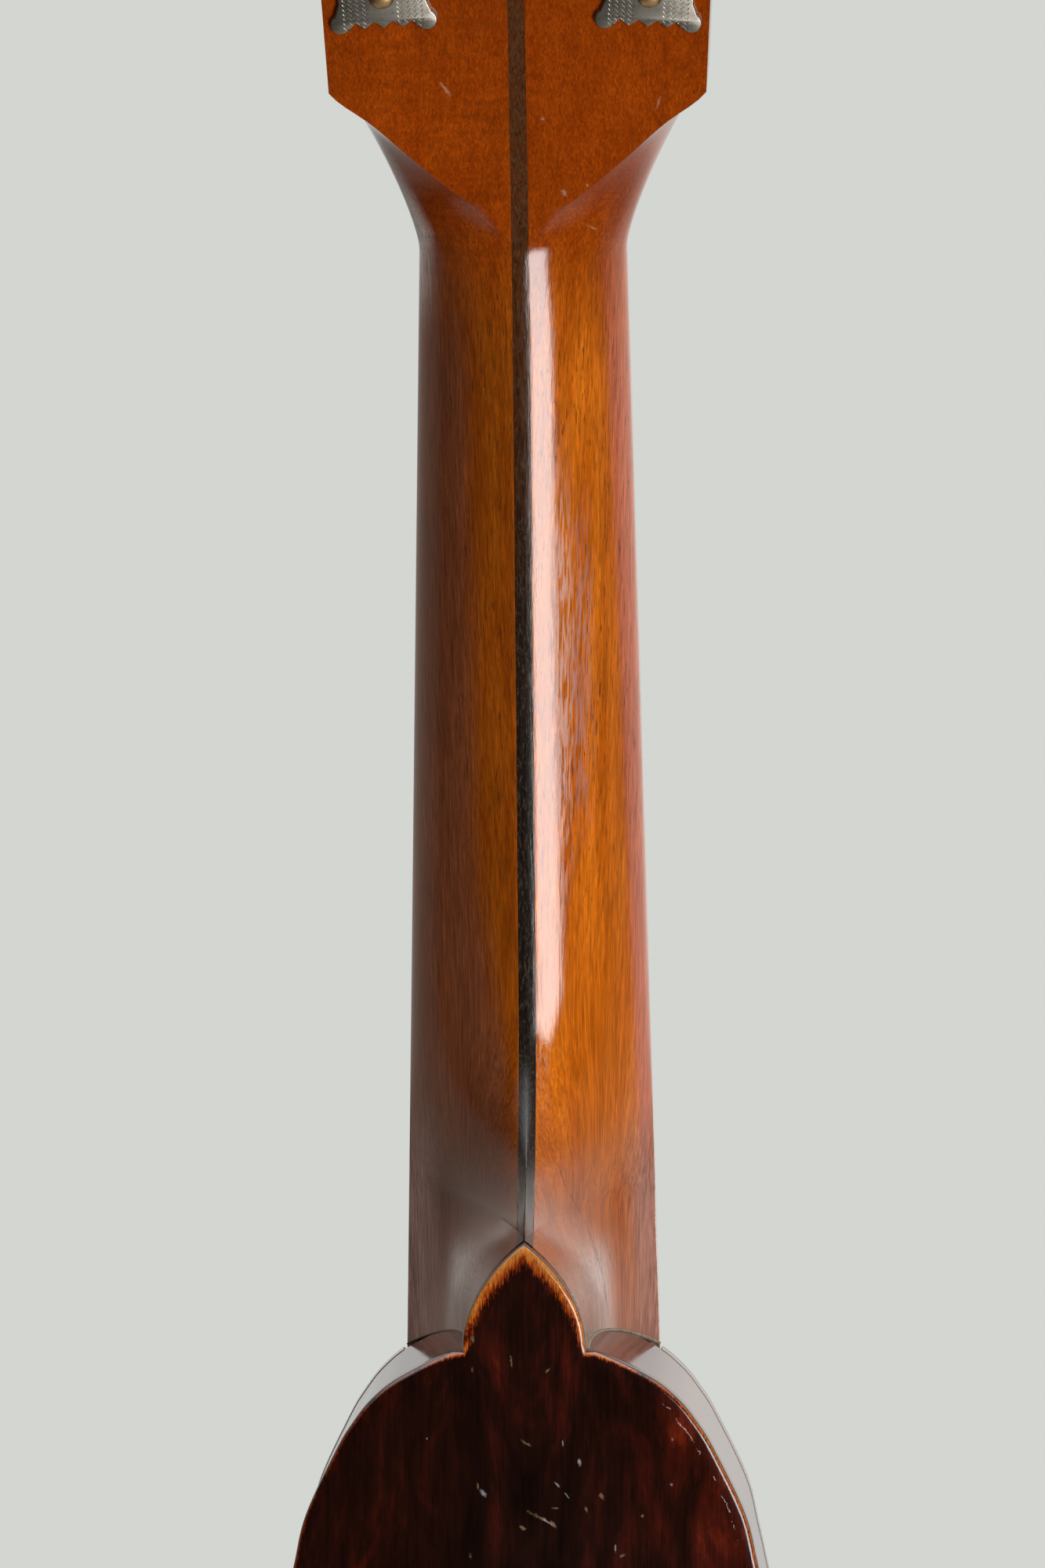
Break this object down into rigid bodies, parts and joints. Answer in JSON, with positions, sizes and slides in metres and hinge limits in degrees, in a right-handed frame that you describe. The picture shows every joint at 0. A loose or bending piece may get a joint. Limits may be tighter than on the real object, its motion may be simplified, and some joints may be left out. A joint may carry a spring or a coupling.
{
  "type": "mandola",
  "caption": "Carved-top mandola with a pear-shaped body, oval sound hole, paired strings, worm tuners that turn and a tailpiece cover that slides.",
  "frame": {"origin": "centre of the end pin's flat end, on the instrument's centre line at half the depth of the sides", "axes": "+Z along the instrument from the tail to the headstock, -Y towards the strings, -X towards the bass side"},
  "size_m": [0.2846, 0.1117, 0.7064],
  "materials": {
    "top_wood": "amber varnish over spruce, gloss, finely checked",
    "back_wood": "very dark red-brown varnish, worn to bare wood at the edge and button",
    "side_wood": "dark red-brown gloss varnish",
    "neck_wood": "orange-brown gloss varnish, smudged and worn",
    "strip_wood": "dark stained centre strip under varnish",
    "inner_wood": "bare light wood",
    "binding": "aged cream binding",
    "ring_inlay": "cream and black inlaid rings",
    "head_veneer": "black stained veneer, gloss",
    "board_ebony": "oiled ebony with nickel frets",
    "bridge_ebony": "satin ebony",
    "pin_ebony": "polished ebony",
    "bone": "bone, satin",
    "pickguard": "mottled red-brown, gloss",
    "nickel_plate": "aged nickel plate, dull",
    "tuner_plate": "nickel silver, engraved, dulled",
    "gear_brass": "aged brass",
    "worm_steel": "bright steel, slightly tarnished",
    "wound_wire": "wound bronze wire",
    "plain_wire": "plain steel wire",
    "knob": "ivory-coloured plastic"
  },
  "bodies": {
    "mandola": {"fingerboard": "board_ebony", "fingerboard_binding": "binding", "nut": "bone", "bridge": "bridge_ebony", "pickguard": "pickguard", "headstock_veneer": "head_veneer", "tuner_plate_bass": "tuner_plate", "tuner_plate_treble": "tuner_plate", "top_plate": "top_wood", "back_plate": "back_wood", "soundhole_ring": "ring_inlay", "rim_bass": "side_wood", "lining_top_bass": "inner_wood", "lining_back_bass": "inner_wood", "rim_treble": "side_wood", "lining_top_treble": "inner_wood", "lining_back_treble": "inner_wood", "neck_block": "inner_wood", "tail_block": "inner_wood", "top_brace": "inner_wood", "top_binding": "binding", "neck_bass_half": "neck_wood", "neck_treble_half": "neck_wood", "neck_center_strip": "strip_wood", "tailpiece_base": "nickel_plate", "end_pin": "pin_ebony", "pickguard_bracket": "nickel_plate", "string_1": "wound_wire", "string_2": "wound_wire", "string_3": "wound_wire", "string_4": "wound_wire", "string_5": "plain_wire", "string_6": "plain_wire", "string_7": "plain_wire", "string_8": "plain_wire"},
    "key_bass_1": {"tuner_worm_bass_1": "worm_steel", "tuner_knob_bass_1": "knob"},
    "post_bass_1": {"tuner_post_bass_1": "gear_brass"},
    "key_bass_2": {"tuner_worm_bass_2": "worm_steel", "tuner_knob_bass_2": "knob"},
    "post_bass_2": {"tuner_post_bass_2": "gear_brass"},
    "key_bass_3": {"tuner_worm_bass_3": "worm_steel", "tuner_knob_bass_3": "knob"},
    "post_bass_3": {"tuner_post_bass_3": "gear_brass"},
    "key_bass_4": {"tuner_worm_bass_4": "worm_steel", "tuner_knob_bass_4": "knob"},
    "post_bass_4": {"tuner_post_bass_4": "gear_brass"},
    "key_treble_1": {"tuner_worm_treble_1": "worm_steel", "tuner_knob_treble_1": "knob"},
    "post_treble_1": {"tuner_post_treble_1": "gear_brass"},
    "key_treble_2": {"tuner_worm_treble_2": "worm_steel", "tuner_knob_treble_2": "knob"},
    "post_treble_2": {"tuner_post_treble_2": "gear_brass"},
    "key_treble_3": {"tuner_worm_treble_3": "worm_steel", "tuner_knob_treble_3": "knob"},
    "post_treble_3": {"tuner_post_treble_3": "gear_brass"},
    "key_treble_4": {"tuner_worm_treble_4": "worm_steel", "tuner_knob_treble_4": "knob"},
    "post_treble_4": {"tuner_post_treble_4": "gear_brass"},
    "cover": {"tailpiece_cover": "nickel_plate"}
  },
  "joints": [
    {"name": "key_turn_bass_1", "type": "hinge", "parent": "mandola", "child": "key_bass_1", "pos_m": [-0.02249, 0.02828, 0.6091], "axis": [0.9981, 0.0194, 0.0579], "continuous": true},
    {"name": "post_turn_bass_1", "type": "hinge", "parent": "mandola", "child": "post_bass_1", "pos_m": [-0.022, 0.0213, 0.60306], "axis": [0, 0.9483, -0.3173], "continuous": true},
    {"name": "key_turn_bass_2", "type": "hinge", "parent": "mandola", "child": "key_bass_2", "pos_m": [-0.02394, 0.03581, 0.63162], "axis": [0.9981, 0.0194, 0.0579], "continuous": true},
    {"name": "post_turn_bass_2", "type": "hinge", "parent": "mandola", "child": "post_bass_2", "pos_m": [-0.02345, 0.02884, 0.62559], "axis": [0, 0.9483, -0.3173], "continuous": true},
    {"name": "key_turn_bass_3", "type": "hinge", "parent": "mandola", "child": "key_bass_3", "pos_m": [-0.02539, 0.04335, 0.65415], "axis": [0.9981, 0.0194, 0.0579], "continuous": true},
    {"name": "post_turn_bass_3", "type": "hinge", "parent": "mandola", "child": "post_bass_3", "pos_m": [-0.02491, 0.03638, 0.64812], "axis": [0, 0.9483, -0.3173], "continuous": true},
    {"name": "key_turn_bass_4", "type": "hinge", "parent": "mandola", "child": "key_bass_4", "pos_m": [-0.02684, 0.05089, 0.67668], "axis": [0.9981, 0.0194, 0.0579], "continuous": true},
    {"name": "post_turn_bass_4", "type": "hinge", "parent": "mandola", "child": "post_bass_4", "pos_m": [-0.02636, 0.04392, 0.67065], "axis": [0, 0.9483, -0.3173], "continuous": true},
    {"name": "key_turn_treble_1", "type": "hinge", "parent": "mandola", "child": "key_treble_1", "pos_m": [0.02249, 0.02828, 0.6091], "axis": [0.9981, -0.0194, -0.0579], "continuous": true},
    {"name": "post_turn_treble_1", "type": "hinge", "parent": "mandola", "child": "post_treble_1", "pos_m": [0.022, 0.0213, 0.60306], "axis": [0, 0.9483, -0.3173], "continuous": true},
    {"name": "key_turn_treble_2", "type": "hinge", "parent": "mandola", "child": "key_treble_2", "pos_m": [0.02394, 0.03581, 0.63162], "axis": [0.9981, -0.0194, -0.0579], "continuous": true},
    {"name": "post_turn_treble_2", "type": "hinge", "parent": "mandola", "child": "post_treble_2", "pos_m": [0.02345, 0.02884, 0.62559], "axis": [0, 0.9483, -0.3173], "continuous": true},
    {"name": "key_turn_treble_3", "type": "hinge", "parent": "mandola", "child": "key_treble_3", "pos_m": [0.02539, 0.04335, 0.65415], "axis": [0.9981, -0.0194, -0.0579], "continuous": true},
    {"name": "post_turn_treble_3", "type": "hinge", "parent": "mandola", "child": "post_treble_3", "pos_m": [0.02491, 0.03638, 0.64812], "axis": [0, 0.9483, -0.3173], "continuous": true},
    {"name": "key_turn_treble_4", "type": "hinge", "parent": "mandola", "child": "key_treble_4", "pos_m": [0.02684, 0.05089, 0.67668], "axis": [0.9981, -0.0194, -0.0579], "continuous": true},
    {"name": "post_turn_treble_4", "type": "hinge", "parent": "mandola", "child": "post_treble_4", "pos_m": [0.02636, 0.04392, 0.67065], "axis": [0, 0.9483, -0.3173], "continuous": true},
    {"name": "cover_slide", "type": "slide", "parent": "mandola", "child": "cover", "axis": [0, 0.0822, -0.9966], "range_m": [0, 0.045]}
  ],
  "couplings": [
    {"joint": "post_turn_bass_1", "follows": "key_turn_bass_1", "ratio": -0.071429},
    {"joint": "post_turn_bass_2", "follows": "key_turn_bass_2", "ratio": -0.071429},
    {"joint": "post_turn_bass_3", "follows": "key_turn_bass_3", "ratio": -0.071429},
    {"joint": "post_turn_bass_4", "follows": "key_turn_bass_4", "ratio": -0.071429},
    {"joint": "post_turn_treble_1", "follows": "key_turn_treble_1", "ratio": -0.071429},
    {"joint": "post_turn_treble_2", "follows": "key_turn_treble_2", "ratio": -0.071429},
    {"joint": "post_turn_treble_3", "follows": "key_turn_treble_3", "ratio": -0.071429},
    {"joint": "post_turn_treble_4", "follows": "key_turn_treble_4", "ratio": -0.071429}
  ]
}
